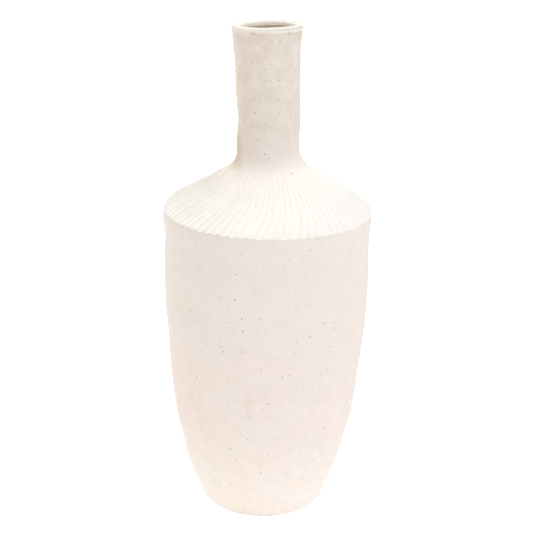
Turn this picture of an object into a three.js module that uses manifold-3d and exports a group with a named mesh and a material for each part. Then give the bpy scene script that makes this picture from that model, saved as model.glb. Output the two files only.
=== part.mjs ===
// Tall stoneware bottle vase, hand-built from clay pieces that are joined with slip and fired.
// Millimetres, +Z up, origin at the centre of the foot. Nothing on the vase moves.
// Neighbouring pieces keep a slip joint of JOINT between their faces.

import * as THREE from 'three';
import { mergeVertices } from 'three/addons/utils/BufferGeometryUtils.js';
import Module from 'manifold-3d';

// ---- Driving dimensions -------------------------------------------------------------------
const HEIGHT = 305;
const JOINT = 0.3; // slip joint between neighbouring pieces

const FOOT_RADIUS = 41.2; // body outline produced down to the table
const FOOT_CORNER = 2.4; // rounding of the bottom edge
const FOOT_RING_WIDTH = 6.5;
const RECESS_DEPTH = 2.5; // hollow trimmed under the floor
const SLAB_TOP = 9;

const BELLY_RADIUS = 63.8;
const BELLY_Z = 160;
const WALL = 5.6; // body wall thickness

const EDGE_Z = 195.4; // seat of the shoulder on the body wall
const EDGE_RADIUS = 63.5; // overhanging edge of the shoulder, over the flute ridges
const EDGE_ROUNDING = 1.4;
const SHOULDER_TOP_Z = 226;
const SHOULDER_BEND = [38.5, 213.2]; // radius and height that the upper surface bends towards
const UNDERSIDE_BEND = [36, 206.5];
const FLUTES = 78;
const FLUTE_DEPTH = 1.2;
const FLUTE_TWIST = THREE.MathUtils.degToRad(9); // from the edge up to the neck
const FLUTE_END_RADIUS = 26; // the flutes have faded out here
const FLUTE_FADE = 10; // over this much more radius

const NECK_RADIUS = 18.7; // at the foot of the neck
const NECK_WAIST = [18.3, 262]; // radius and height that the neck's outline bends towards
const NECK_TOP_RADIUS = 19.6;
const BORE_RADIUS = 13.9; // at the foot of the neck
const BORE_TOP_RADIUS = 14.8;
const FILLET = 14; // radius of the concave fillet round the foot of the neck

const LIP_RADIUS = 20.4;
const LIP_Z = 301; // seat of the lip on the neck
const LIP_ROUNDING = 1.1;
const MOUTH_RADIUS = 15.8;

const GLAZE = 1; // thickness of the lining
const GLAZE_TOP_Z = 302.4;

const SEGMENTS = 64; // sides of a turned piece
const INSIDE_SEGMENTS = 32; // sides of the pieces inside
const SEGMENTS_PER_FLUTE = 3;

// ---- Outlines: lists of Vector2(radius, height) -------------------------------------------
const at = (radius, z) => new THREE.Vector2(radius, z);

function arc(center, radius, fromDegrees, toDegrees, steps) {
  const from = THREE.MathUtils.degToRad(fromDegrees);
  const to = THREE.MathUtils.degToRad(toDegrees);
  return Array.from({ length: steps + 1 }, (_, i) => {
    const angle = from + ((to - from) * i) / steps;
    return at(center.x + radius * Math.cos(angle), center.y + radius * Math.sin(angle));
  });
}

// Outside of the body: a taper that flattens out at the belly and draws in again to the edge.
function bodyRadius(z) {
  const taper = 2.8;
  const drawIn = 0.0012;
  if (z > BELLY_Z) {
    return BELLY_RADIUS - drawIn * (z - BELLY_Z) ** 2;
  }
  return BELLY_RADIUS - (BELLY_RADIUS - FOOT_RADIUS) * (1 - z / BELLY_Z) ** taper;
}

function bodyOutline(fromZ, toZ, steps, inset) {
  return Array.from({ length: steps + 1 }, (_, i) => {
    const z = fromZ + ((toZ - fromZ) * i) / steps;
    return at(bodyRadius(z) - inset, z);
  });
}

// Upper surface of the shoulder, from the edge to the foot of the neck.
const shoulderCurve = new THREE.QuadraticBezierCurve(
  at(EDGE_RADIUS - 1.6, EDGE_Z + 4.6), at(...SHOULDER_BEND), at(NECK_RADIUS, SHOULDER_TOP_Z),
);

// Underside of the shoulder, from its seat on the wall to the bore of the neck.
const shoulderUnderside = new THREE.QuadraticBezierCurve(
  at(bodyRadius(EDGE_Z) - WALL, EDGE_Z), at(...UNDERSIDE_BEND), at(BORE_RADIUS, SHOULDER_TOP_Z),
);

// ---- Solids -------------------------------------------------------------------------------
// Turns an outline round Z. The outline runs anticlockwise, seen with the radius to the right.
function turn(outline, segments) {
  return new THREE.LatheGeometry(outline, segments).rotateX(Math.PI / 2);
}

function turnRing(outline, segments) {
  return turn([...outline, outline[0]], segments);
}

const wasm = await Module();
wasm.setup();

function toManifold(geometry) {
  const bare = geometry.clone();
  bare.deleteAttribute('normal');
  bare.deleteAttribute('uv');
  const merged = mergeVertices(bare, 1e-3);
  return new wasm.Manifold(new wasm.Mesh({
    numProp: 3,
    vertProperties: new Float32Array(merged.attributes.position.array),
    triVerts: new Uint32Array(merged.index.array),
  }));
}

function toGeometry(manifold) {
  const mesh = manifold.getMesh();
  const geometry = new THREE.BufferGeometry();
  geometry.setAttribute('position', new THREE.BufferAttribute(mesh.vertProperties, mesh.numProp));
  geometry.setIndex(new THREE.BufferAttribute(mesh.triVerts, 1));
  return geometry;
}

// Floor disc: foot ring with rounded edge, trimmed hollow underneath, flat top.
function baseSlab() {
  const cornerRadius = bodyRadius(FOOT_CORNER);
  const ringOuter = cornerRadius - FOOT_CORNER;
  const ringInner = ringOuter - FOOT_RING_WIDTH;
  return turn([
    at(0, RECESS_DEPTH),
    at(ringInner - RECESS_DEPTH, RECESS_DEPTH),
    at(ringInner, 0),
    ...arc(at(ringOuter, FOOT_CORNER), FOOT_CORNER, -90, 0, 4),
    at(bodyRadius(SLAB_TOP), SLAB_TOP),
    at(0, SLAB_TOP),
  ], SEGMENTS);
}

function bodyWall() {
  const bottom = SLAB_TOP + JOINT;
  const top = EDGE_Z - JOINT;
  return turnRing([
    ...bodyOutline(bottom, top, 9, 0),
    ...bodyOutline(bottom, top, 6, WALL).reverse(),
  ], SEGMENTS);
}

// How deep the flutes are at a radius: full on the cone, gone where the neck begins.
function fluteStrength(radius) {
  return THREE.MathUtils.smoothstep(radius, FLUTE_END_RADIUS, FLUTE_END_RADIUS + FLUTE_FADE);
}

// Carves flutes into a turned blank, square to its surface, with a slight twist up the cone.
function carveFlutes(blank) {
  const position = blank.attributes.position;
  const normal = blank.attributes.normal;
  const point = new THREE.Vector3();
  const push = new THREE.Vector3();
  const axis = new THREE.Vector3(0, 0, 1);
  for (let i = 0; i < position.count; i++) {
    point.fromBufferAttribute(position, i);
    const radius = Math.hypot(point.x, point.y);
    if (radius < FLUTE_END_RADIUS || point.z <= EDGE_Z) {
      continue;
    }
    const angle = Math.atan2(point.y, point.x);
    const depth = FLUTE_DEPTH * fluteStrength(radius) * (1 - Math.cos(FLUTES * angle)) / 2;
    push.fromBufferAttribute(normal, i).multiplyScalar(-depth);
    const climb = (EDGE_RADIUS - radius) / (EDGE_RADIUS - FLUTE_END_RADIUS);
    point.add(push).applyAxisAngle(axis, FLUTE_TWIST * climb);
    position.setXYZ(i, point.x, point.y, point.z);
  }
  return blank;
}

function shoulder() {
  const noseCenter = at(EDGE_RADIUS - EDGE_ROUNDING, EDGE_Z + EDGE_ROUNDING);
  const nose = arc(noseCenter, EDGE_ROUNDING, -60, 58, 2);
  const blank = turn([
    at(0, EDGE_Z),
    at(bodyRadius(EDGE_Z), EDGE_Z),
    ...nose,
    ...shoulderCurve.getPoints(5).slice(1),
    at(0, SHOULDER_TOP_Z),
  ], FLUTES * SEGMENTS_PER_FLUTE);
  const over = 1;
  const hollow = turn([
    at(0, EDGE_Z - over),
    at(bodyRadius(EDGE_Z) - WALL, EDGE_Z - over),
    ...shoulderUnderside.getPoints(6),
    at(BORE_RADIUS, SHOULDER_TOP_Z + over),
    at(0, SHOULDER_TOP_Z + over),
  ], SEGMENTS);
  return toGeometry(toManifold(carveFlutes(blank)).subtract(toManifold(hollow)));
}

const neckCurve = new THREE.QuadraticBezierCurve(
  at(NECK_RADIUS, SHOULDER_TOP_Z + JOINT), at(...NECK_WAIST), at(NECK_TOP_RADIUS, LIP_Z - JOINT),
);

function neck() {
  return turnRing([
    ...neckCurve.getPoints(5),
    at(BORE_TOP_RADIUS, LIP_Z - JOINT),
    at(BORE_RADIUS, SHOULDER_TOP_Z + JOINT),
  ], SEGMENTS);
}

// Wedge of clay round the foot of the neck; its outside is a hollow arc from cone to neck.
function neckFilletCoil() {
  const coneAngle = 33;
  const feather = 20; // degrees of the arc left off at each thin end
  const slope = Math.tan(THREE.MathUtils.degToRad(coneAngle));
  const rise = FILLET / Math.cos(THREE.MathUtils.degToRad(coneAngle)) - FILLET * slope;
  const center = at(NECK_RADIUS + FILLET, SHOULDER_TOP_Z + rise);
  const hollow = arc(center, FILLET, 270 - coneAngle - feather, 180 + feather, 5);
  const footZ = SHOULDER_TOP_Z - slope * (hollow[0].x - NECK_RADIUS) + JOINT;
  return turnRing([
    at(NECK_RADIUS + JOINT, SHOULDER_TOP_Z + JOINT),
    at(hollow[0].x, footZ),
    ...hollow,
    at(NECK_RADIUS + JOINT, hollow.at(-1).y),
  ], SEGMENTS);
}

function lipCoil() {
  const beadZ = HEIGHT - LIP_ROUNDING;
  return turnRing([
    at(BORE_TOP_RADIUS, LIP_Z),
    at(NECK_TOP_RADIUS, LIP_Z),
    at(NECK_TOP_RADIUS, beadZ - 1.5 * LIP_ROUNDING),
    ...arc(at(LIP_RADIUS - LIP_ROUNDING, beadZ), LIP_ROUNDING, -60, 90, 4),
    ...arc(at(MOUTH_RADIUS + LIP_ROUNDING, beadZ), LIP_ROUNDING, 90, 180, 3),
  ], SEGMENTS);
}

// ---- Pieces inside ------------------------------------------------------------------------
const COIL = 6.5; // reach of a seam coil along each of the two faces it joins
const COIL_EDGE = 1; // thickness of its smeared-out edges
const COIL_FILL = 2.5; // how far it fills the corner out
const floorCorner = at(bodyRadius(SLAB_TOP) - WALL, SLAB_TOP);
const shoulderCorner = at(bodyRadius(EDGE_Z) - WALL, EDGE_Z);
const underside = shoulderUnderside.getPoints(6);

// Shifts an outline sideways, to the left of its own direction.
function offset(outline, distance) {
  return outline.map((p, i) => {
    const before = outline[Math.max(i - 1, 0)];
    const after = outline[Math.min(i + 1, outline.length - 1)];
    const along = after.clone().sub(before).normalize();
    return at(p.x - along.y * distance, p.y + along.x * distance);
  });
}

// The hollow faces of the two seam coils, in the order in which the outline of the inside runs.
const floorCoilFace = [
  at(floorCorner.x - COIL, SLAB_TOP + COIL_EDGE),
  at(floorCorner.x - COIL_FILL, SLAB_TOP + COIL_FILL),
  at(bodyRadius(SLAB_TOP + COIL) - WALL - COIL_EDGE, SLAB_TOP + COIL),
];
const shoulderCoilFace = [
  at(bodyRadius(EDGE_Z - COIL) - WALL - COIL_EDGE, EDGE_Z - COIL),
  at(shoulderCorner.x - COIL_FILL, EDGE_Z - COIL_EDGE),
  at(underside[1].x, underside[1].y - COIL_EDGE),
];

function floorSeamCoil() {
  const wallSide = bodyOutline(SLAB_TOP + JOINT, SLAB_TOP + COIL, 1, WALL + JOINT);
  return turnRing([
    at(floorCorner.x - COIL, SLAB_TOP + JOINT),
    ...wallSide,
    ...floorCoilFace.toReversed(),
  ], INSIDE_SEGMENTS);
}

function shoulderSeamCoil() {
  const wallSide = bodyOutline(EDGE_Z - COIL, EDGE_Z - JOINT, 1, WALL + JOINT);
  return turnRing([
    ...wallSide,
    at(underside[1].x, underside[1].y - JOINT),
    ...shoulderCoilFace.toReversed(),
  ], INSIDE_SEGMENTS);
}

// Glaze coat over the whole inside, from the middle of the floor to just under the lip.
function glazeLining() {
  const flare = (MOUTH_RADIUS - BORE_TOP_RADIUS) / (HEIGHT - LIP_ROUNDING - LIP_Z);
  const inside = [
    at(0, SLAB_TOP),
    at(floorCorner.x - COIL - 1.5, SLAB_TOP),
    ...floorCoilFace,
    ...bodyOutline(SLAB_TOP + COIL + 6, EDGE_Z - COIL - 6, 5, WALL),
    ...shoulderCoilFace,
    ...underside.slice(2),
    at(BORE_TOP_RADIUS, LIP_Z),
    at(BORE_TOP_RADIUS + flare * (GLAZE_TOP_Z - LIP_Z), GLAZE_TOP_Z),
  ];
  const clearance = 1.5 * JOINT;
  const outer = offset(inside, clearance);
  const inner = offset(inside, clearance + GLAZE);
  return turn([...outer, ...inner.toReversed()], INSIDE_SEGMENTS);
}

// ---- Assembly -----------------------------------------------------------------------------
const bareClay = { color: 0xebe0d5, roughness: 0.88, metalness: 0 };
const lightClay = { color: 0xf3ebe1, roughness: 0.86, metalness: 0 };
const liningGlaze = { color: 0x6b4c3e, roughness: 0.25, metalness: 0 };

const vase = new THREE.Group();

function add(name, geometry, finish) {
  const mesh = new THREE.Mesh(geometry, new THREE.MeshStandardMaterial(finish));
  mesh.name = name;
  vase.add(mesh);
}

add('base_slab', baseSlab(), bareClay);
add('floor_seam_coil', floorSeamCoil(), bareClay);
add('body_wall', bodyWall(), bareClay);
add('shoulder_seam_coil', shoulderSeamCoil(), bareClay);
add('shoulder', shoulder(), lightClay);
add('neck', neck(), bareClay);
add('neck_fillet_coil', neckFilletCoil(), lightClay);
add('lip_coil', lipCoil(), lightClay);
add('glaze_lining', glazeLining(), liningGlaze);

export default vase;
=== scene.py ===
"""Looks of a tall speckled stoneware bottle vase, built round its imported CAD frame.

Every visible piece is a fine mesh turned from an outline whose main sizes come from the frame,
then worked by hand: undulation, carved flutes, dents, a wavy lip. Lengths are millimetres until
a mesh is made, and the Blender objects are metres.
"""
import itertools
import math

import bmesh
import bpy
import numpy as np
from mathutils import Matrix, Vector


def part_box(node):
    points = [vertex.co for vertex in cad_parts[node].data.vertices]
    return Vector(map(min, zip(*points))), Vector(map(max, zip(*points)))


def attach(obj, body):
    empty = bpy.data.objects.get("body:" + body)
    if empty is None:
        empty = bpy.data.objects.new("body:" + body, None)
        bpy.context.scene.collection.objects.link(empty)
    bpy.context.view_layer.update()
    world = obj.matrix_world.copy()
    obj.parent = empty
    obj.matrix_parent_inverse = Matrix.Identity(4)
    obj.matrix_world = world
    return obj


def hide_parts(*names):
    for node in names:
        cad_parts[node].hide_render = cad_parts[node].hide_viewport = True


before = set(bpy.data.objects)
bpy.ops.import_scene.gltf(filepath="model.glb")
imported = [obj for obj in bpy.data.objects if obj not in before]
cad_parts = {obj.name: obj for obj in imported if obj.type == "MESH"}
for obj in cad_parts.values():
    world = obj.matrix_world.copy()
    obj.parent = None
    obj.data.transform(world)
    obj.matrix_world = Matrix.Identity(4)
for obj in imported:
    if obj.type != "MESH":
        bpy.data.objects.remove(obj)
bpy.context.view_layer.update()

MM = 0.001
SEED = 76


# ---- Sizes, read from the frame ---------------------------------------------------------------
def low(node):
    return np.array(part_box(node)[0]) / MM


def high(node):
    return np.array(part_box(node)[1]) / MM


HEIGHT = high("lip_coil")[2]
SLAB_TOP = high("base_slab")[2]
BELLY_RADIUS = high("body_wall")[0]
SEAT_Z = low("shoulder")[2]
EDGE_RADIUS = high("shoulder")[0]
SHOULDER_TOP = high("shoulder")[2]
LIP_SEAT = low("lip_coil")[2]
LIP_RADIUS = high("lip_coil")[0]
GLAZE_TOP = high("glaze_lining")[2]

FOOT_RADIUS = 41.2  # body outline produced down to the table
FOOT_CORNER = 2.4
RING_WIDTH = 6.5  # foot ring, round a trimmed recess
RECESS = 2.5
BELLY_Z = 160.0
WALL = 5.6
SHOULDER_BEND = (38.5, 213.2)
UNDERSIDE_BEND = (36.0, 206.5)
NECK_RADIUS = 18.7
NECK_WAIST = (18.3, 262.0)
NECK_TOP_RADIUS = 19.6
BORE_RADIUS = 13.9
BORE_TOP_RADIUS = 14.8
FILLET = 14.0
CONE_ANGLE = math.radians(33)
LIP_ROUNDING = 1.1
LIP_TOP_ROUNDING = 1.7
MOUTH_RADIUS = 15.8

FLUTES = 78
FLUTE_DEPTH = 1.9
FLUTE_TWIST = math.radians(9)  # from the edge up to the neck
FLUTE_TOP_RADIUS = 19.8  # the flutes run out here, on the fillet
CARVED_FROM = 56  # outside this radius the shoulder's edge is notched instead of carved
CARVED_FULL = 46  # the cuts are at their full depth inside this one

# Dents and swellings left by the hands: azimuth in degrees (0 is +X, 270 faces the camera), height,
# half width round the vase, half height, and push outwards.
DENTS = [
    (185, 298, 8, 8, 0.6), (185, 280, 9, 12, -0.6), (185, 251, 9, 5, -0.5), (186, 236, 8, 7, 1.0),
    (206, 238, 1.6, 9, -0.6), (185, 212, 18, 8, -0.7), (185, 202, 18, 4, 1.3), (187, 191, 20, 5, 0.7),
    (187, 178, 20, 4, -0.5), (187, 148, 25, 12, 0.3), (187, 134, 20, 5, 0.4), (187, 27, 18, 9, 0.9),
    (355, 300, 8, 6, 0.6), (355, 238, 9, 9, -0.9), (355, 226, 9, 4, 0.7), (355, 218, 10, 3, 0.1),
    (355, 207, 16, 7, 2.5), (353, 190, 20, 5, 0.3), (353, 172, 20, 8, -0.6), (353, 85, 20, 14, -0.4),
    (353, 44, 18, 9, -0.6), (353, 10, 20, 10, -0.7),
]


# ---- Outlines: arrays of (radius, height) -----------------------------------------------------
def arc(center, radius, start, stop, count):
    angles = np.radians(np.linspace(start, stop, count))
    return np.stack([center[0] + radius * np.cos(angles), center[1] + radius * np.sin(angles)], 1)


def bend(start, control, stop, count):
    t = np.linspace(0, 1, count)[:, None]
    start, control, stop = np.array(start), np.array(control), np.array(stop)
    return (1 - t) ** 2 * start + 2 * t * (1 - t) * control + t ** 2 * stop


def line(start, stop, count):
    return np.linspace(start, stop, count)


def joined(*parts):
    """One outline from parts that share their end points."""
    return np.concatenate([parts[0]] + [part[1:] for part in parts[1:]])


def body_radius(z):
    z = np.asarray(z, float)
    taper = BELLY_RADIUS - (BELLY_RADIUS - FOOT_RADIUS) * (1 - np.minimum(z, BELLY_Z) / BELLY_Z) ** 2.8
    smeared_up = 0.9 * smoothstep(z, SEAT_Z - 14, SEAT_Z)
    hollow_flank = 0.7 * np.exp(-((z - 105) / 30) ** 2)
    spread_foot = 0.2 * np.exp(-(z / 7) ** 2)
    return taper - 0.0012 * np.maximum(z - BELLY_Z, 0) ** 2 + smeared_up - hollow_flank + spread_foot


def inner_radius(z):
    return float(body_radius(z)) - WALL


def body_outline(bottom, top, count, inset=0.0):
    z = np.linspace(bottom, top, count)
    return np.stack([body_radius(z) - inset, z], 1)


def normals_of(outline):
    """Unit normals of an outline, to the right of its direction."""
    along = np.gradient(outline, axis=0)
    along /= np.linalg.norm(along, axis=1, keepdims=True)
    return np.stack([along[:, 1], -along[:, 0]], 1)


# ---- Noise ------------------------------------------------------------------------------------
LATTICE_SIZE = 32
LATTICE = np.random.default_rng(SEED).uniform(-1, 1, (LATTICE_SIZE, LATTICE_SIZE, LATTICE_SIZE))


def noise(points, size):
    """Smooth noise between -1 and 1 with features about size mm long; size may differ by axis."""
    scaled = points / np.asarray(size, float)
    cell = np.floor(scaled).astype(int)
    f = scaled - cell
    f = f * f * (3 - 2 * f)
    total = 0.0
    for corner in itertools.product((0, 1), repeat=3):
        i, j, k = np.moveaxis((cell + corner) % LATTICE_SIZE, -1, 0)
        weight = np.prod(np.where(corner, f, 1 - f), axis=-1)
        total = total + weight * LATTICE[i, j, k]
    return total


def smoothstep(value, start, stop):
    t = np.clip((value - start) / (stop - start), 0, 1)
    return t * t * (3 - 2 * t)


# ---- Hand-worked surface ----------------------------------------------------------------------
def undulation(points):
    """Slow swells and finger facets, in mm along the surface's normal."""
    z = points[..., 2]
    on_neck = smoothstep(z, 225, 240)
    swell = 0.30 * noise(points, 42) + 0.16 * noise(points + 500, (30, 30, 11))
    facets = 0.34 * noise(points + 900, (17, 17, 24)) + 0.12 * noise(points + 300, 9)
    grain = 0.035 * noise(points + 700, 3.2)
    return swell * (1 - 0.5 * on_neck) + facets * on_neck + grain + dents(points)


def dents(points):
    total = 0.0
    for azimuth, height, wide, tall, push in DENTS:
        cos, sin = math.cos(math.radians(azimuth)), math.sin(math.radians(azimuth))
        across = points[..., 1] * cos - points[..., 0] * sin
        near_side = points[..., 0] * cos + points[..., 1] * sin > 0
        reach = (across / wide) ** 2 + ((points[..., 2] - height) / tall) ** 2
        total = total + push * near_side * np.exp(-reach)
    return total


def flutes(angle, radius):
    """Depth in mm of the carved flutes, at an angle and radius on the cone."""
    rng = np.random.default_rng(SEED + 1)
    climb = np.clip((EDGE_RADIUS - radius) / (EDGE_RADIUS - FLUTE_TOP_RADIUS), 0, 1)
    turned = angle - FLUTE_TWIST * (1 - (1 - climb) ** 2)
    ring = np.stack([30 * np.cos(turned), 30 * np.sin(turned), 14 * climb], -1)
    place = FLUTES * turned / (2 * math.pi) + 0.2 * noise(ring, (5, 5, 6))
    index = np.floor(place).astype(int) % FLUTES
    across = place - np.floor(place)
    shallower = 1 - 0.4 * smoothstep(radius, CARVED_FROM, EDGE_RADIUS)
    depth = rng.uniform(0.65, 1.0, FLUTES)[index] * shallower
    run_out = rng.uniform(0.84, 1.0, FLUTES)[index]
    groove = 1 - np.abs(2 * across - 1) ** 1.9
    fade = 1 - smoothstep(climb, run_out - 0.2, run_out)
    scale = (radius / EDGE_RADIUS) ** 0.6
    bolder_left = 0.82 - 0.18 * np.cos(angle - math.radians(330))
    return FLUTE_DEPTH * depth * groove * fade * scale * bolder_left


def warp(points):
    """The whole vase is a little bowed, and its edge and mouth aren't quite level."""
    x, y, z = points[..., 0], points[..., 1], points[..., 2]
    bow = 1.3 * np.sin(math.pi * np.clip(z / HEIGHT, 0, 1)) ** 2 + 1.3 * np.exp(-((z - 236) / 34) ** 2)
    edge_tilt = -math.tan(math.radians(0.7)) * smoothstep(z, 120, 195) * (1 - smoothstep(z, 205, 240))
    mouth_tilt = math.tan(math.radians(1.6)) * smoothstep(z, 250, 300)
    mouth_nod = 0.5 + math.tan(math.radians(2.3)) * y
    lift = x * (edge_tilt + mouth_tilt) + mouth_nod * smoothstep(z, 285, 302)
    return np.stack([x + bow, y, z + lift], -1)


# ---- Mesh making ------------------------------------------------------------------------------
# Points in one ring of each piece.
BASE_RING = 480
BODY_RING = 560
SHOULDER_RING = FLUTES * 12
FILLET_RING = FLUTES * 10
NECK_RING = 400
LINING_RING = 200
COIL_RING = 260


def turn(outline, segments, relief=None):
    """Rings of points round Z for an outline. relief gives mm along the outward normal."""
    angle = np.arange(segments) * 2 * math.pi / segments
    cos, sin = np.cos(angle)[None, :], np.sin(angle)[None, :]
    radius, z = outline[:, :1], outline[:, 1:]
    points = np.stack([radius * cos, radius * sin, z + 0 * cos], -1)
    if relief is not None:
        normal = normals_of(outline)
        push = relief(points, np.broadcast_to(angle, points.shape[:2]), radius + 0 * cos)
        out = np.stack([normal[:, :1] * cos, normal[:, :1] * sin, normal[:, 1:] + 0 * cos], -1)
        points = points + push[..., None] * out
    return points


def mesh_from_rings(name, rings, on_axis=False):
    """A closed mesh from rings of points: a torus, or a body of turning whose ends are on the axis."""
    count, segments = rings.shape[:2]
    flat = warp(rings).reshape(-1, 3) * MM
    index = np.arange(count * segments).reshape(count, segments)
    lower = index if not on_axis else index[:-1]
    upper = np.roll(index, -1, axis=0) if not on_axis else index[1:]
    faces = np.stack([lower, np.roll(lower, -1, 1), np.roll(upper, -1, 1), upper], -1).reshape(-1, 4)
    mesh = bpy.data.meshes.new(name)
    mesh.from_pydata(flat.tolist(), [], faces.tolist())
    mesh.validate()
    if on_axis:
        weld(mesh)
    mesh.update()
    mesh.shade_smooth()
    mesh.set_sharp_from_angle(angle=math.radians(50))
    piece = bpy.data.objects.new(name, mesh)
    bpy.context.scene.collection.objects.link(piece)
    return piece


def weld(mesh):
    """Joins the points of the end rings, which all lie on the axis."""
    edit = bmesh.new()
    edit.from_mesh(mesh)
    bmesh.ops.remove_doubles(edit, verts=edit.verts, dist=1e-6)
    edit.to_mesh(mesh)
    edit.free()


def finish_piece(piece, node, material):
    piece.data.materials.append(material)
    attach(piece, "root")
    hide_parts(node)


# ---- Pieces -----------------------------------------------------------------------------------
JOINT_Z = SLAB_TOP + 0.15  # where floor slab and wall meet
CONE_TANGENT = (NECK_RADIUS + FILLET * (1 - math.sin(CONE_ANGLE)),
                SHOULDER_TOP - math.tan(CONE_ANGLE) * FILLET * (1 - math.sin(CONE_ANGLE)))
FILLET_CENTER = (NECK_RADIUS + FILLET, CONE_TANGENT[1] + FILLET * math.cos(CONE_ANGLE))
ARC_START = 270 - math.degrees(CONE_ANGLE)  # degrees, where the fillet leaves the cone
COIL_START = ARC_START - 15  # the coil's smeared edges belong to its neighbours
COIL_END = 180 + 12
BEAD_Z = HEIGHT - LIP_ROUNDING
ARRIS = 0.7  # rounding of the shoulder's edge
COVE = 9  # how far the smoothed seam coils reach up and down the wall
COIL_LEG = 6.5  # of a seam coil, along each of the two faces it is pressed on
EDGE_TOP = SEAT_Z + 2.4
EDGE_SLOPE = 42  # degrees, of the cone next to the edge


def worked(points, angle, radius):
    """Relief of the outside: swells and facets, less the flutes away from the shoulder's edge."""
    carved = smoothstep(radius, CARVED_FROM, CARVED_FULL) * (points[..., 2] > SEAT_Z)
    return undulation(points) - flutes(angle, radius) * carved


def edge_cuts(outline, segments):
    """How far each point near the shoulder's edge is lowered where a flute runs out over it."""
    angle, radius = np.meshgrid(np.arange(segments) * 2 * math.pi / segments, outline[:, 0])
    wall = np.clip((outline[:, 1:] - SEAT_Z) / (EDGE_TOP - ARRIS - SEAT_Z), 0, 1)
    near_edge = 1 - smoothstep(radius, CARVED_FROM, CARVED_FULL)
    return flutes(angle, radius) * wall * near_edge / math.cos(math.radians(EDGE_SLOPE))


def add_base(material):
    corner = float(body_radius(FOOT_CORNER))
    ring_outer = corner - FOOT_CORNER
    ring_inner = ring_outer - RING_WIDTH
    underside = joined(
        line((0, RECESS), (ring_inner - RECESS, RECESS), 40),
        bend((ring_inner - RECESS, RECESS), (ring_inner - 0.6, RECESS), (ring_inner, 0.3), 8),
        bend((ring_inner, 0.3), (ring_inner + 0.1, 0), (ring_inner + 0.6, 0), 4),
        line((ring_inner + 0.6, 0), (ring_outer, 0), 8),
    )
    edge = joined(
        arc((ring_outer, FOOT_CORNER), FOOT_CORNER, -90, 0, 14),
        body_outline(FOOT_CORNER, JOINT_Z, 8),
    )

    def edge_relief(points, angle, radius):
        return undulation(points) * smoothstep(points[..., 2], 0, FOOT_CORNER)

    def trimming(points, angle, radius):
        spiral = np.sin(2 * math.pi * radius / 2.6 - angle)
        return -0.09 * spiral * smoothstep(radius, 1, 5) * (1 - smoothstep(radius, 25, 29))

    top = line((body_radius(JOINT_Z), JOINT_Z), (0, JOINT_Z), 6)[1:]
    rings = np.concatenate([
        turn(underside, BASE_RING, trimming),
        turn(edge, BASE_RING, edge_relief)[1:],
        turn(top, BASE_RING),
    ])
    piece = mesh_from_rings("base", rings, on_axis=True)
    finish_piece(piece, "base_slab", material)


def add_body(material):
    outer = turn(body_outline(JOINT_Z, SEAT_Z, 164), BODY_RING, worked)
    inner = turn(body_outline(SEAT_Z, JOINT_Z, 12, WALL), BODY_RING)
    piece = mesh_from_rings("body", np.concatenate([outer, inner]))
    finish_piece(piece, "body_wall", material)


def cone_outline(count):
    """The cone's upper surface, from near the edge to where the fillet begins."""
    curve = bend((EDGE_RADIUS - 1.6, SEAT_Z + 4.6), SHOULDER_BEND, (NECK_RADIUS, SHOULDER_TOP), count)
    kept = (curve[:, 0] > CONE_TANGENT[0] + 0.6) & (curve[:, 0] < EDGE_RADIUS - 7)
    return np.concatenate([curve[kept], [CONE_TANGENT]])


def add_shoulder(material):
    cone = cone_outline(66)
    arris = (EDGE_RADIUS - ARRIS, EDGE_TOP - ARRIS)
    tip = arc(arris, ARRIS, 0, 90 - EDGE_SLOPE, 8)
    outline = joined(
        line((float(body_radius(SEAT_Z)), SEAT_Z), (EDGE_RADIUS, EDGE_TOP - ARRIS), 10),
        tip,
        bend(tip[-1], (EDGE_RADIUS - 3.2, EDGE_TOP + 3), cone[0], 10),
        cone,
        arc(FILLET_CENTER, FILLET, ARC_START, COIL_START, 6),
    )
    under = np.concatenate([
        [(NECK_RADIUS, SHOULDER_TOP), (BORE_RADIUS, SHOULDER_TOP)],
        bend((BORE_RADIUS, SHOULDER_TOP), UNDERSIDE_BEND, (body_radius(SEAT_Z) - WALL, SEAT_Z), 20)[1:],
    ])
    top = turn(outline, SHOULDER_RING, worked)
    top[..., 2] -= edge_cuts(outline, SHOULDER_RING)
    rings = np.concatenate([top, turn(under, SHOULDER_RING)])
    piece = mesh_from_rings("carved_shoulder", rings)
    finish_piece(piece, "shoulder", material)


def add_neck_fillet(material):
    outline = arc(FILLET_CENTER, FILLET, COIL_START, COIL_END, 16)
    back = np.array([(NECK_RADIUS, outline[-1, 1]), (NECK_RADIUS, SHOULDER_TOP + 0.2)])
    rings = np.concatenate([turn(outline, FILLET_RING, worked), turn(back, FILLET_RING)])
    piece = mesh_from_rings("neck_fillet", rings)
    finish_piece(piece, "neck_fillet_coil", material)


def add_neck(material):
    top_of_arc = (NECK_RADIUS, FILLET_CENTER[1])
    outline = joined(
        arc(FILLET_CENTER, FILLET, COIL_END, 180, 6),
        bend(top_of_arc, NECK_WAIST, (NECK_TOP_RADIUS, LIP_SEAT), 100),
    )
    bore = np.concatenate([
        line((BORE_TOP_RADIUS, LIP_SEAT), (BORE_RADIUS, SHOULDER_TOP + 0.1), 30),
        [(NECK_RADIUS - 0.1, SHOULDER_TOP + 0.1), (NECK_RADIUS - 0.1, outline[0, 1])],
    ])
    rings = np.concatenate([turn(outline, NECK_RING, worked), turn(bore, NECK_RING)])
    piece = mesh_from_rings("neck_tube", rings)
    finish_piece(piece, "neck", material)


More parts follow.
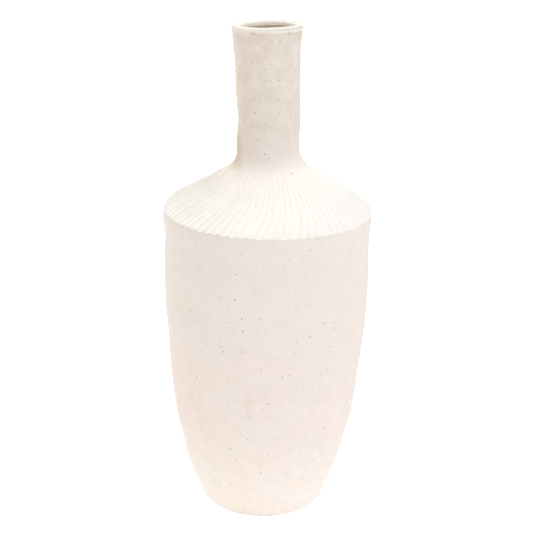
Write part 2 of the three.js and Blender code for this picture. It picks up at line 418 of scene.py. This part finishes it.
def add_lip(material):
    widest = (LIP_RADIUS, BEAD_Z - 0.6)
    outer_top = (LIP_RADIUS - LIP_TOP_ROUNDING, HEIGHT)
    inner_top = (MOUTH_RADIUS + LIP_TOP_ROUNDING, HEIGHT)
    inner_foot = (MOUTH_RADIUS - 0.2, BEAD_Z - 1.3)
    outline = joined(
        bend((NECK_TOP_RADIUS, LIP_SEAT), (NECK_TOP_RADIUS + 0.1, BEAD_Z - 2), widest, 12),
        bend(widest, (LIP_RADIUS, HEIGHT), outer_top, 12),
        line(outer_top, inner_top, 6),
        bend(inner_top, (MOUTH_RADIUS, HEIGHT), inner_foot, 14),
        line(inner_foot, (BORE_TOP_RADIUS, LIP_SEAT), 6),
    )

    def lip_relief(points, angle, radius):
        seat = smoothstep(points[..., 2], LIP_SEAT, LIP_SEAT + 2)
        pinched = 0.16 * noise(points + 250, (7, 7, 5)) + 0.07 * noise(points + 50, 2.5)
        return undulation(points) + seat * pinched

    piece = mesh_from_rings("lip", turn(outline, NECK_RING, lip_relief))
    finish_piece(piece, "lip_coil", material)


def lip_inside(z):
    """Radius of the lip's inner face."""
    return BORE_TOP_RADIUS + (MOUTH_RADIUS - BORE_TOP_RADIUS) * (z - LIP_SEAT) / (BEAD_Z - LIP_SEAT)


def inside_outline():
    """Outline of the clay inside, seam coils included, from the floor's middle to the mouth."""
    wall_start, wall_stop = SLAB_TOP + COVE, SEAT_Z - COVE
    floor_corner, edge_corner = inner_radius(SLAB_TOP), inner_radius(SEAT_Z)
    floor_end = (floor_corner - 8, SLAB_TOP)
    cone = bend((edge_corner, SEAT_Z), UNDERSIDE_BEND, (BORE_RADIUS, SHOULDER_TOP), 40)[8:]
    glaze_end = GLAZE_TOP - 0.5
    return joined(
        line((0, SLAB_TOP), floor_end, 20),
        bend(floor_end, (floor_corner - 1, SLAB_TOP + 1), (inner_radius(wall_start), wall_start), 12),
        body_outline(wall_start, wall_stop, 50, WALL),
        bend((inner_radius(wall_stop), wall_stop), (edge_corner - 1.5, SEAT_Z - 1), cone[0], 12),
        cone,
        line((BORE_RADIUS, SHOULDER_TOP), (BORE_TOP_RADIUS, LIP_SEAT), 40),
        line((BORE_TOP_RADIUS, LIP_SEAT), (lip_inside(glaze_end), glaze_end), 6),
    )


def add_lining(material):
    clay = inside_outline()
    into_clay = normals_of(clay)
    reach = clay[:, 1:]
    thin = 1 - 0.75 * smoothstep(reach, LIP_SEAT - 6, GLAZE_TOP - 1)
    outer = clay - 0.35 * thin * into_clay
    inner = clay - 1.35 * thin * into_clay
    outer[0, 0] = inner[0, 0] = 0

    def flow(points, angle, radius):
        return 0.10 * noise(points + 150, (8, 8, 30)) * smoothstep(radius, 1, 6)

    rings = np.concatenate([turn(outer, LINING_RING), turn(inner, LINING_RING, flow)[::-1]])
    piece = mesh_from_rings("glaze", rings, on_axis=True)
    finish_piece(piece, "glaze_lining", material)


def add_seam_coil(name, node, corner, first, second, material):
    """A coil pressed into an inside corner; its hollow face shows the finger marks."""
    face = bend(second, (corner + np.array(first) + np.array(second)) / 3, first, 12)

    def fingers(points, angle, radius):
        return -0.3 * np.abs(np.sin(angle * 13 + 2 * noise(points, 20)))

    legs = joined(line(first, corner, 6), line(corner, second, 6))
    rings = np.concatenate([turn(legs, COIL_RING), turn(face, COIL_RING, fingers)[1:-1]])
    piece = mesh_from_rings(name, rings)
    finish_piece(piece, node, material)


def add_seam_coils(material):
    gap = 0.1
    corner = np.array([inner_radius(SLAB_TOP) - gap, SLAB_TOP + gap])
    on_floor = (corner[0] - COIL_LEG, corner[1])
    on_wall = (inner_radius(SLAB_TOP + COIL_LEG) - gap, SLAB_TOP + COIL_LEG)
    add_seam_coil("floor_coil", "floor_seam_coil", corner, on_floor, on_wall, material)
    corner = np.array([inner_radius(SEAT_Z) - gap, SEAT_Z - gap])
    on_wall = (inner_radius(SEAT_Z - COIL_LEG) - gap, SEAT_Z - COIL_LEG)
    cone = bend((corner[0], SEAT_Z), UNDERSIDE_BEND, (BORE_RADIUS, SHOULDER_TOP), 7)
    on_cone = (cone[1, 0], cone[1, 1] - gap)
    add_seam_coil("shoulder_coil", "shoulder_seam_coil", corner, on_wall, on_cone, material)


# ---- Materials --------------------------------------------------------------------------------
# Linear colours. Noise scales are per metre.
WARM_CLAY = (0.870, 0.777, 0.702)
COOL_CLAY = (0.867, 0.788, 0.719)
PINK_CLAY = (0.893, 0.769, 0.702)
SMUDGE = (0.68, 0.58, 0.50)
MOTTLE = (0.72, 0.62, 0.545)
GRAIN = (0.62, 0.53, 0.45)
# Painted light on the cone's upward faces, then painted shade on its +X side:
LIT_SHOULDER_TINT = (0.800, 0.768, 0.710)
SHADED_SHOULDER_TINT = (0.759, 0.730, 0.692)
# darker, browner neck: partly the clay's tone, partly painted shade
NECK_BROWN_AND_SHADE = (0.758, 0.664, 0.562)
RUST = (0.48, 0.32, 0.24)
# painted light that lifts the shade in the fillet crease
PAINTED_FILLET_LIGHT = (0.900, 0.835, 0.760)
# painted shade in the crease at the neck's foot, on the -X side
PAINTED_CREASE_SHADE = (0.70, 0.58, 0.45)
# painted light on the lip's inner face in the mouth
LIT_MOUTH_INSIDE = (0.96, 0.92, 0.82)
LIP_OUTSIDE = (0.85, 0.790, 0.690)
# painted shade on the lip's top
SHADED_LIP_TOP = (0.69, 0.662, 0.600)
NICK = (0.45, 0.31, 0.21)
DARK_IRON = (0.21, 0.165, 0.135)
BROWN_IRON = (0.36, 0.235, 0.175)
DRAGGED = (0.55, 0.45, 0.37)
RAW_LIGHT = (0.80, 0.70, 0.60)
RAW_DARK = (0.72, 0.62, 0.52)
RAW_SPECK = (0.25, 0.19, 0.15)
GLAZE_BROWN = (0.20, 0.105, 0.065)
GLAZE_DARK = (0.12, 0.06, 0.04)
GLAZE_SPECK = (0.06, 0.04, 0.03)
GLAZE_THIN = (0.50, 0.37, 0.27)

# Bands of height in mm: where a tone, painted light or painted shade starts, is full, begins to fade and
# is gone.
BLUSH_BAND = (30, 70, 100, 135)
SCRAPED_BAND = (138, 144, 156, 162)
CONE_BAND = (SEAT_Z - 1, SEAT_Z + 3, 214, 227)
# painted light lifting the fillet crease
FILLET_LIGHT_BAND = (212, 218, 222, 230)
# painted shade in the crease at the neck's foot
CREASE_SHADE_BAND = (219, 229, 240, 254)
NICK_BAND = (BEAD_Z - 3.0, BEAD_Z - 2.4, BEAD_Z - 1.9, BEAD_Z - 0.9)


class Graph:
    """A material's node tree. Its methods add nodes and return an output socket."""

    def __init__(self, name):
        self.material = bpy.data.materials.new(name)
        self.material.use_nodes = True
        self.tree = self.material.node_tree
        self.shader = self.tree.nodes["Principled BSDF"]
        self.place = self.node("ShaderNodeTexCoord").outputs["Object"]

    def node(self, kind, **settings):
        made = self.tree.nodes.new(kind)
        for key, value in settings.items():
            setattr(made, key, value)
        return made

    def link(self, source, target):
        self.tree.links.new(source, target)

    def noise(self, scale, detail=3.0, roughness=0.5, place=None):
        made = self.node("ShaderNodeTexNoise")
        made.inputs["Scale"].default_value = scale
        made.inputs["Detail"].default_value = detail
        made.inputs["Roughness"].default_value = roughness
        self.link(place or self.place, made.inputs["Vector"])
        return made.outputs["Fac"]

    def stretched(self, scales):
        made = self.node("ShaderNodeMapping")
        made.inputs["Scale"].default_value = scales
        self.link(self.place, made.inputs["Vector"])
        return made.outputs["Vector"]

    def cells(self, scale):
        made = self.node("ShaderNodeTexVoronoi")
        made.inputs["Scale"].default_value = scale
        self.link(self.place, made.inputs["Vector"])
        return made.outputs["Distance"], made.outputs["Color"]

    def remap(self, value, low, high, out_low=0.0, out_high=1.0):
        made = self.node("ShaderNodeMapRange", interpolation_type="SMOOTHSTEP")
        self.link(value, made.inputs["Value"])
        made.inputs["From Min"].default_value = low
        made.inputs["From Max"].default_value = high
        made.inputs["To Min"].default_value = out_low
        made.inputs["To Max"].default_value = out_high
        return made.outputs["Result"]

    def axis(self, letter):
        """The place along one axis, in metres."""
        made = self.node("ShaderNodeSeparateXYZ")
        self.link(self.place, made.inputs[0])
        return made.outputs[letter]

    def axis_distance(self):
        """Distance from the vase's axis, in metres."""
        flat = self.node("ShaderNodeVectorMath", operation="MULTIPLY")
        self.link(self.place, flat.inputs[0])
        flat.inputs[1].default_value = (1, 1, 0)
        length = self.node("ShaderNodeVectorMath", operation="LENGTH")
        self.link(flat.outputs["Vector"], length.inputs[0])
        return length.outputs["Value"]

    def band(self, height, start, full, fading, gone):
        """1 between the heights full and fading, in mm, and 0 beyond start and gone."""
        rise = self.remap(height, start * MM, full * MM)
        return self.product(rise, self.remap(height, fading * MM, gone * MM, 1, 0))

    def product(self, first, second):
        return self.math("MULTIPLY", first, second)

    def math(self, operation, first, second):
        made = self.node("ShaderNodeMath", operation=operation)
        for socket, value in zip(made.inputs, (first, second)):
            if isinstance(value, (int, float)):
                socket.default_value = value
            else:
                self.link(value, socket)
        return made.outputs[0]

    def mix(self, factor, first, second):
        made = self.node("ShaderNodeMix", data_type="RGBA")
        self.link(factor, made.inputs["Factor"])
        for socket, value in zip((made.inputs[6], made.inputs[7]), (first, second)):
            if isinstance(value, tuple):
                socket.default_value = (*value, 1)
            else:
                self.link(value, socket)
        return made.outputs[2]

    def bump(self, height, distance, strength=1.0, below=None):
        made = self.node("ShaderNodeBump")
        made.inputs["Distance"].default_value = distance * MM
        made.inputs["Strength"].default_value = strength
        self.link(height, made.inputs["Height"])
        if below is not None:
            self.link(below, made.inputs["Normal"])
        return made.outputs["Normal"]

    def specks(self, spacing, size, chance):
        """Round specks about size mm in radius, in a share of cells spacing mm apart."""
        distance, colour = self.cells(1 / (spacing * MM))
        split = self.node("ShaderNodeSeparateColor")
        self.link(colour, split.inputs[0])
        reach = size / spacing
        shrunk = self.math("ADD", distance, self.product(split.outputs[1], 0.5 * reach))
        dot = self.remap(shrunk, 0.55 * reach, 1.15 * reach, 1, 0)
        chosen = self.remap(split.outputs[0], 1 - chance, 1 - 0.2 * chance)
        return self.product(dot, chosen)


def body_colour(graph, height):
    """Off-white clay in two tones, with a pink blush and faint smudges, more mottled below."""
    patches = graph.remap(graph.noise(45, 2), 0.35, 0.65)
    colour = graph.mix(patches, WARM_CLAY, COOL_CLAY)
    low_down = graph.band(height, *BLUSH_BAND)
    blush = graph.product(low_down, graph.remap(graph.noise(34, 2), 0.38, 0.60))
    colour = graph.mix(blush, colour, PINK_CLAY)
    smudges = graph.remap(graph.noise(42, 2), 0.62, 0.78, 0, 0.12)
    colour = graph.mix(smudges, colour, SMUDGE)
    more_below = graph.remap(height, 30 * MM, 180 * MM, 0.15, 0.07)
    mottled = graph.product(more_below, graph.remap(graph.noise(170, 3), 0.38, 0.62))
    return graph.mix(mottled, colour, MOTTLE)


def shoulder_painted_light(graph, colour, on_cone):
    """The carved shoulder is painted paler and greener, standing in for the whiter light on its upward
    faces, and greyer towards +X as painted shade.
    """
    # painted shade: the cone turns greyer towards +X
    painted_shade_side = graph.remap(graph.axis("X"), 12 * MM, 55 * MM)
    return graph.mix(on_cone, colour, graph.mix(painted_shade_side, LIT_SHOULDER_TINT, SHADED_SHOULDER_TINT))


def neck_colour_and_painted_light(graph, colour, height, on_neck):
    """The neck is darker and browner in blotches, partly the clay's tone and partly painted shade, with
    rust specks; the fillet is lifted with painted light, and painted shade darkens the crease at the
    neck's foot on the -X side.
    """
    # partly the clay's tone, partly painted shade of the neck's facets
    neck_tone_and_shade = graph.product(on_neck, graph.remap(graph.noise(115, 3), 0.35, 0.7, 0.4, 1))
    colour = graph.mix(neck_tone_and_shade, colour, NECK_BROWN_AND_SHADE)
    rust = graph.product(graph.specks(2.9, 0.55, 1.0), graph.remap(graph.noise(70, 1), 0.42, 0.55))
    colour = graph.mix(graph.product(rust, on_neck), colour, RUST)
    # painted light: a paler band lifts the shade in the fillet crease
    fillet_light = graph.band(height, *FILLET_LIGHT_BAND)
    colour = graph.mix(graph.product(fillet_light, 0.5), colour, PAINTED_FILLET_LIGHT)
    # painted shade in the crease at the neck's foot, on the -X side
    left_side = graph.remap(graph.axis("X"), -18 * MM, -11 * MM, 1, 0)
    crease_shade = graph.product(graph.band(height, *CREASE_SHADE_BAND), left_side)
    return graph.mix(crease_shade, colour, PAINTED_CREASE_SHADE)


def lip_colour_and_painted_light(graph, colour, height):
    """The lip is cream outside, with painted shade on its top, painted light, nearly white, on its inner
    face in the mouth, and brown nicks below it.
    """
    on_lip = graph.remap(height, (BEAD_Z - 2.2) * MM, (BEAD_Z - 1.2) * MM)
    outside = graph.remap(graph.axis_distance(), (MOUTH_RADIUS + 0.2) * MM, (MOUTH_RADIUS + 1) * MM)
    # painted light: the lip's inner face is lifted nearly to white
    colour = graph.mix(on_lip, colour, graph.mix(outside, LIT_MOUTH_INSIDE, LIP_OUTSIDE))
    # painted shade on the lip's top
    lip_top_shade = graph.remap(height, (BEAD_Z - 0.7) * MM, (BEAD_Z + 0.5) * MM)
    colour = graph.mix(graph.product(lip_top_shade, outside), colour, SHADED_LIP_TOP)
    under_lip = graph.band(height, *NICK_BAND)
    nicks = graph.product(under_lip, graph.remap(graph.noise(260, 2), 0.54, 0.66, 0.12, 0.65))
    return graph.mix(nicks, colour, NICK)


def iron_specks(graph, colour, on_cone):
    """Large dark specks, and small brown ones in clusters. The shoulder has fewer."""
    kept = graph.math("SUBTRACT", 1, graph.product(on_cone, 0.6))
    large = graph.product(graph.specks(3.9, 0.62, 0.9), kept)
    colour = graph.mix(graph.product(large, 0.66), colour, DARK_IRON)
    clusters = graph.remap(graph.noise(55, 1), 0.42, 0.56, 0.35, 1)
    small = graph.product(graph.product(graph.specks(2.0, 0.40, 1.0), clusters), kept)
    return graph.mix(graph.product(small, 0.6), colour, BROWN_IRON)


def drag_marks(graph, height):
    """Where a tool or sand dragged: level strokes in patches, and in one scraped place on the -X side."""
    strokes = graph.remap(graph.noise(70, 2, place=graph.stretched((1, 1, 11))), 0.60, 0.70)
    below_edge = graph.remap(height, 185 * MM, 195 * MM, 1, 0)
    patches = graph.product(graph.remap(graph.noise(24, 1), 0.50, 0.62), below_edge)
    left_side = graph.remap(graph.axis("X"), -20 * MM, -8 * MM, 1.6, 0)
    scraped = graph.product(graph.band(height, *SCRAPED_BAND), left_side)
    return graph.product(strokes, graph.math("MAXIMUM", patches, scraped))


def stoneware():
    graph = Graph("speckled_stoneware")
    height = graph.axis("Z")
    on_cone = graph.band(height, *CONE_BAND)
    on_neck = graph.remap(height, 225 * MM, 260 * MM)
    grain = graph.noise(900, 4, 0.7)
    drags = drag_marks(graph, height)
    colour = body_colour(graph, height)
    colour = shoulder_painted_light(graph, colour, on_cone)
    colour = neck_colour_and_painted_light(graph, colour, height, on_neck)
    colour = lip_colour_and_painted_light(graph, colour, height)
    colour = graph.mix(graph.remap(grain, 0.35, 0.6, 0.07, 0), colour, GRAIN)
    colour = iron_specks(graph, colour, on_cone)
    colour = graph.mix(graph.product(drags, 0.13), colour, DRAGGED)
    graph.link(colour, graph.shader.inputs["Base Color"])
    graph.link(graph.remap(grain, 0.3, 0.7, 0.74, 0.9), graph.shader.inputs["Roughness"])
    sand = graph.bump(drags, -0.08, 0.5, below=graph.bump(grain, 0.10, 0.5))
    pits = graph.bump(graph.specks(2.4, 0.28, 0.35), -0.18, 0.6, below=sand)
    graph.link(pits, graph.shader.inputs["Normal"])
    return graph.material


def seam_clay():
    graph = Graph("raw_clay")
    patches = graph.remap(graph.noise(60, 4), 0.35, 0.65)
    colour = graph.mix(patches, RAW_LIGHT, RAW_DARK)
    colour = graph.mix(graph.product(graph.specks(4.0, 0.4, 0.6), 0.6), colour, RAW_SPECK)
    graph.link(colour, graph.shader.inputs["Base Color"])
    graph.shader.inputs["Roughness"].default_value = 0.95
    graph.link(graph.bump(graph.noise(700, 5, 0.7), 0.2, 0.7), graph.shader.inputs["Normal"])
    return graph.material


def lining_glaze():
    graph = Graph("lining_glaze")
    streaks = graph.remap(graph.noise(120, 3), 0.35, 0.7)
    colour = graph.mix(streaks, GLAZE_BROWN, GLAZE_DARK)
    colour = graph.mix(graph.product(graph.specks(4.0, 0.4, 0.6), 0.7), colour, GLAZE_SPECK)
    thin_rim = graph.remap(graph.axis("Z"), (GLAZE_TOP - 1.6) * MM, (GLAZE_TOP - 0.2) * MM)
    colour = graph.mix(thin_rim, colour, GLAZE_THIN)
    graph.link(colour, graph.shader.inputs["Base Color"])
    graph.shader.inputs["Roughness"].default_value = 0.35
    graph.shader.inputs["Coat Weight"].default_value = 0.4
    graph.shader.inputs["Coat Roughness"].default_value = 0.1
    graph.link(graph.bump(graph.noise(250, 2), 0.15, 0.4), graph.shader.inputs["Normal"])
    return graph.material


# ---- Stage ------------------------------------------------------------------------------------
# Metres and degrees here.
STAGE_RADIUS = 10
WALL_HEIGHT = 8
TENT_HORIZON = 0.27
TENT_ZENITH = 0.68
FLOOR_GLOW = 0.28  # the floor glows a little, more far away and close to the foot
FAR_GLOW = 0.54
FOOT_GLOW = 0.40
WALL_GLOW = 1.05  # at the wall's foot
WALL_GREY = 0.78  # higher up
WALL_FADE = 0.7  # height over which one turns into the other
NEUTRAL = (1, 1, 1)
COOL = (0.82, 0.94, 1.22)
WARM = (1.0, 0.97, 0.9)
MIDDLE = (0, 0, 0.15)  # the lights aim here
CAMERA_LENS = 60.45
CAMERA_ELEVATION = 20.4
CAMERA_ROLL = 0.7
CAMERA_AIM = (0.0036, 0.517)  # X and Z, in heights of the vase
CAMERA_DISTANCE = 1.845  # in heights of the vase


def add_floor():
    """A white floor. Its glow takes away the vase's shadow, as a light table does."""
    bpy.ops.mesh.primitive_plane_add(size=2 * STAGE_RADIUS)
    floor = bpy.context.object
    floor.name = "floor"
    graph = Graph("floor_white")
    graph.shader.inputs["Base Color"].default_value = (0.95, 0.95, 0.95, 1)
    graph.shader.inputs["Roughness"].default_value = 1
    graph.shader.inputs["Specular IOR Level"].default_value = 0
    graph.shader.inputs["Emission Color"].default_value = (1, 1, 1, 1)
    distance = graph.node("ShaderNodeVectorMath", operation="LENGTH")
    graph.link(graph.place, distance.inputs[0])
    wide = graph.remap(distance.outputs["Value"], 0.2, 1.2, FLOOR_GLOW, FAR_GLOW)
    close = graph.remap(distance.outputs["Value"], 0.045, 0.11, FOOT_GLOW, 0)
    graph.link(graph.math("ADD", wide, close), graph.shader.inputs["Emission Strength"])
    floor.data.materials.append(graph.material)


def add_backdrop():
    """A wall all round, white at its foot and pale grey above. Only the camera sees it."""
    bpy.ops.mesh.primitive_cylinder_add(vertices=96, radius=0.95 * STAGE_RADIUS, depth=WALL_HEIGHT,
                                        end_fill_type="NOTHING", location=(0, 0, WALL_HEIGHT / 2))
    wall = bpy.context.object
    wall.name = "backdrop"
    wall.visible_diffuse = False
    wall.visible_glossy = False
    wall.visible_transmission = False
    wall.visible_shadow = False
    graph = Graph("backdrop_white")
    graph.shader.inputs["Base Color"].default_value = (0, 0, 0, 1)
    graph.shader.inputs["Emission Color"].default_value = (1, 1, 1, 1)
    foot = -WALL_HEIGHT / 2
    fading = graph.remap(graph.axis("Z"), foot, foot + WALL_FADE, WALL_GLOW, WALL_GREY)
    graph.link(fading, graph.shader.inputs["Emission Strength"])
    wall.data.materials.append(graph.material)


def add_light(name, place, size, power, colour):
    """A round area light that aims at the middle of the vase."""
    light = bpy.data.lights.new(name, "AREA")
    light.shape = "DISK"
    light.size = size
    light.energy = power
    light.color = colour
    holder = bpy.data.objects.new(name, light)
    bpy.context.scene.collection.objects.link(holder)
    direction = np.array(MIDDLE) - np.array(place)
    yaw = math.atan2(direction[0], -direction[1])
    pitch = math.atan2(math.hypot(direction[0], direction[1]), -direction[2])
    turned = Matrix.Rotation(math.pi + yaw, 4, "Z") @ Matrix.Rotation(pitch, 4, "X")
    holder.matrix_world = Matrix.Translation(place) @ turned


def add_lights():
    """A light tent, a strong overhead light, a cool key from the right and a warm rim from behind."""
    world = bpy.data.worlds.new("light_tent")
    world.use_nodes = True
    nodes, links = world.node_tree.nodes, world.node_tree.links
    direction = nodes.new("ShaderNodeSeparateXYZ")
    links.new(nodes.new("ShaderNodeTexCoord").outputs["Generated"], direction.inputs[0])
    brightness = nodes.new("ShaderNodeMapRange")
    links.new(direction.outputs["Z"], brightness.inputs["Value"])
    brightness.inputs["To Min"].default_value = TENT_HORIZON
    brightness.inputs["To Max"].default_value = TENT_ZENITH
    links.new(brightness.outputs["Result"], nodes["Background"].inputs["Strength"])
    nodes["Background"].inputs["Color"].default_value = (*NEUTRAL, 1)
    bpy.context.scene.world = world
    add_light("overhead", (0.1, 0.0, 1.8), 1.0, 21.0, NEUTRAL)
    add_light("key", (0.75, -0.65, 0.75), 0.3, 1.2, COOL)
    add_light("rim", (-0.6, 0.55, 0.75), 0.3, 1.8, WARM)


def add_camera():
    """The camera stands close, a little above the mouth, and leans slightly to one side."""
    height = HEIGHT * MM
    camera = bpy.data.objects.new("camera", bpy.data.cameras.new("camera"))
    bpy.context.scene.collection.objects.link(camera)
    camera.data.sensor_width = 36
    camera.data.lens = CAMERA_LENS
    aim = Matrix.Translation((CAMERA_AIM[0] * height, 0, CAMERA_AIM[1] * height))
    pitch = Matrix.Rotation(math.radians(90 - CAMERA_ELEVATION), 4, "X")
    back = Matrix.Translation((0, 0, CAMERA_DISTANCE * height))
    roll = Matrix.Rotation(math.radians(CAMERA_ROLL), 4, "Z")
    camera.matrix_world = aim @ pitch @ back @ roll
    bpy.context.scene.camera = camera


# ---- Scene ------------------------------------------------------------------------------------
clay, raw, glaze = stoneware(), seam_clay(), lining_glaze()
add_base(clay)
add_body(clay)
add_shoulder(clay)
add_neck_fillet(clay)
add_neck(clay)
add_lip(clay)
add_lining(glaze)
add_seam_coils(raw)
add_floor()
add_backdrop()
add_lights()
add_camera()
bpy.context.scene.view_settings.view_transform = "Standard"
